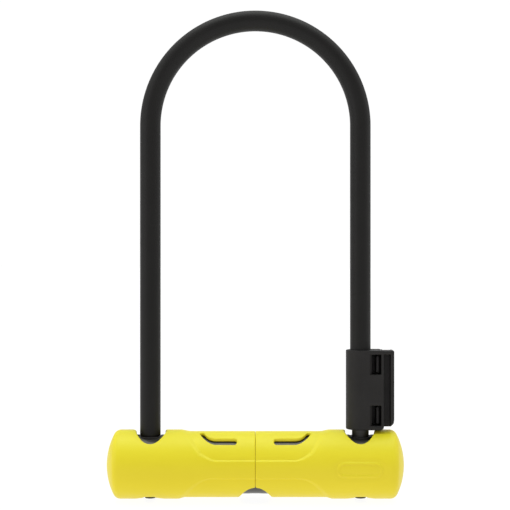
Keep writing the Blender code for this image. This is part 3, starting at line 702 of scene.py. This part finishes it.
def make_screw(name, height):
    """A pan-head screw with a hexagon socket, seen from behind."""

    def path(distance):
        return (SCREW_X, distance, height), (1, 0, 0), (0, 0, 1)

    head = rounded([(6.5, 1.1, 0), (6.5, 2.1, 0.15), (8.1, 2.1, 0.6), (8.1, 0.4, 0)])
    screw = swept(name + "_head", path, [(-5.0, 0), (-5.0, 0.8), (-4.4, 1.1)] + head + [(8.1, 0)], 40, False)
    carve(screw, bar((SCREW_X, 7.1, height), (SCREW_X, 9.0, height), 1.15, 6))
    place(screw, "shackle", "dark_steel", [name])


def make_adapter():
    cell = 0.3
    body = moulded("adapter_front", adapter_body_field, ADAPTER_LOW, ADAPTER_HIGH, cell)
    place(body, "shackle", "black_plastic", ["adapter_body"])
    low, high = box_mm("adapter_clamp")
    clamp = moulded("adapter_rear", adapter_clamp_field, low, high, cell)
    place(clamp, "shackle", "black_plastic", ["adapter_clamp"])
    for name, height in zip(("clamp_screw_lower", "clamp_screw_upper"), SCREW_HEIGHTS):
        make_screw(name, height)


# Lock core ------------------------------------------------------------------------------------------------


def make_cylinder_face():
    """The cylinder's turned body and the dust shutter in its mouth, both seen from below."""
    low, high = (box_mm("cylinder_body")[i][2] for i in (0, 1))
    wall = [(low, 5.2, 0.3), (low, 8.2, 0.5), (high, 8.2, 0.3), (high, 6.15, 0.2)]
    wall += [(low + 1.1, 6.15, 0.0), (low + 1.1, 5.2, 0.0)]
    body = swept("cylinder_shell", upright(0), rounded(wall), sides=96)
    carve(body, bar((-20, 0, 0), (20, 0, 0), TUBE_R - 0.05, 160), "INTERSECT")
    carve(body, brick((-0.9, 5.5, -14.0), (0.9, 7.1, -3.4)))
    place(body, "crossbar", "tube_steel", ["cylinder_body"])
    low, high = (box_mm("keyway_shutter")[i][2] for i in (0, 1))
    outline = [(high, 0), (high, 4.95)] + rounded([(high, 4.95, 0), (low, 4.95, 0.25), (low, 0, 0)])[1:]
    shutter = swept("shutter_disc", upright(0), outline, sides=64, closed=False)
    carve(shutter, brick((-3.4, -0.9, low - 1), (3.4, 0.9, high + 1)))
    place(shutter, "shutter", "hardened_steel", ["keyway_shutter"])


def dress_inner_nodes():
    """The rest of the core and the feet's sockets stay as the CAD has them, with finished metals."""
    slots = {part["node"]: part["material_slot"] for part in frame["record"]["subparts"]}
    for name, node in frame["nodes"].items():
        if not node.hide_render:
            dress(node, slots[name])


# Set ------------------------------------------------------------------------------------------------------


def make_floor():
    material = surface("floor", ((0.10, 0.10, 0.10), (0.11, 0.11, 0.11)), (0.7, 0.8), specular=0.1,
                       grain=(300, 0.02), blotch=3)
    shader = material.node_tree.nodes["Principled BSDF"]
    shader.inputs["Emission Color"].default_value = (1, 1, 1, 1)
    shader.inputs["Emission Strength"].default_value = 0.93
    bm = bmesh.new()
    bmesh.ops.create_circle(bm, cap_ends=True, segments=96, radius=14.0)
    mesh = bpy.data.meshes.new("floor")
    bm.to_mesh(mesh)
    bm.free()
    mesh.materials.append(material)
    floor = bpy.data.objects.new("floor", mesh)
    floor.location.z = -0.001
    bpy.context.scene.collection.objects.link(floor)


def make_lamp(name, place_at, aim, size, power, colour=(1, 1, 1), only=()):
    """An area lamp. With only, it lights just those objects."""
    light = bpy.data.lights.new(name, "AREA")
    light.shape = "RECTANGLE"
    light.size, light.size_y = size
    light.energy = power
    light.color = colour
    lamp = bpy.data.objects.new(name, light)
    lamp.location = place_at
    lamp.rotation_euler = (Vector(aim) - Vector(place_at)).to_track_quat("-Z", "Y").to_euler()
    bpy.context.scene.collection.objects.link(lamp)
    if only:
        lit = bpy.data.collections.new(name)
        for obj in only:
            lit.objects.link(obj)
        lamp.light_linking.receiver_collection = lit


def ramp_along(nodes, links, source, limits, values):
    """A value that eases from one number to another over a range of the source."""
    node = nodes.new("ShaderNodeMapRange")
    node.interpolation_type = "SMOOTHSTEP"
    for name, value in zip(("From Min", "From Max", "To Min", "To Max"), (*limits, *values)):
        node.inputs[name].default_value = value
    links.new(source, node.inputs["Value"])
    return node.outputs["Result"]


def make_light(covers):
    """A white tent, dark round the backdrop and dimmer in front, with soft lamps above and to the left.
    One more lamp gives the covers alone their greener light from above."""
    world = bpy.data.worlds.new("studio")
    bpy.context.scene.world = world
    world.use_nodes = True
    nodes, links = world.node_tree.nodes, world.node_tree.links
    background = nodes["Background"]
    background.inputs["Color"].default_value = (1, 1, 1, 1)
    direction = nodes.new("ShaderNodeTexCoord")
    split = nodes.new("ShaderNodeSeparateXYZ")
    links.new(direction.outputs["Generated"], split.inputs["Vector"])
    total = ramp_along(nodes, links, split.outputs["Z"], (0.3, 1.0), (0.0, 0.25))
    dim_front = ((-0.6, 0.0), (0.5, 1.05))
    dark_ring = ((0.25, 0.65), (0.0, -0.5))
    backdrop = ((0.94, 0.96), (0.0, 0.47))
    for limits, values in (dim_front, dark_ring, backdrop):
        total_node = nodes.new("ShaderNodeMath")
        total_node.operation = "ADD"
        links.new(total, total_node.inputs[0])
        links.new(ramp_along(nodes, links, split.outputs["Y"], limits, values), total_node.inputs[1])
        total = total_node.outputs["Value"]
    links.new(total, background.inputs["Strength"])
    make_lamp("top", (0.0, 0.1, 1.3), (0, 0, 0.05), (1.2, 0.8), 4.5, (0.95, 1.0, 0.95))
    make_lamp("top_on_covers", (0.0, -0.1, 1.3), (0, 0, 0.05), (1.2, 0.8), 3.5, (0.3, 1.0, 0.6), covers)
    make_lamp("left", (-1.2, -0.7, 0.5), (0, 0, 0.12), (0.5, 1.2), 2.5)


def make_camera():
    data = bpy.data.cameras.new("camera")
    data.sensor_width = 36.0
    data.lens = 95.15
    camera = bpy.data.objects.new("camera", data)
    camera.location = (-0.0002, -0.773, 0.1198 + AXIS[2] * MM)
    camera.rotation_euler = (math.pi / 2, 0, 0)
    bpy.context.scene.collection.objects.link(camera)
    bpy.context.scene.camera = camera


make_camera()
cover_shells = make_covers()
make_tube()
for end_name, end_side in (("left", -1), ("right", 1)):
    make_leg_trim(end_name, end_side)
make_shackle()
make_adapter()
make_cylinder_face()
dress_inner_nodes()
make_floor()
make_light(cover_shells)
bpy.context.scene.view_settings.view_transform = "Standard"
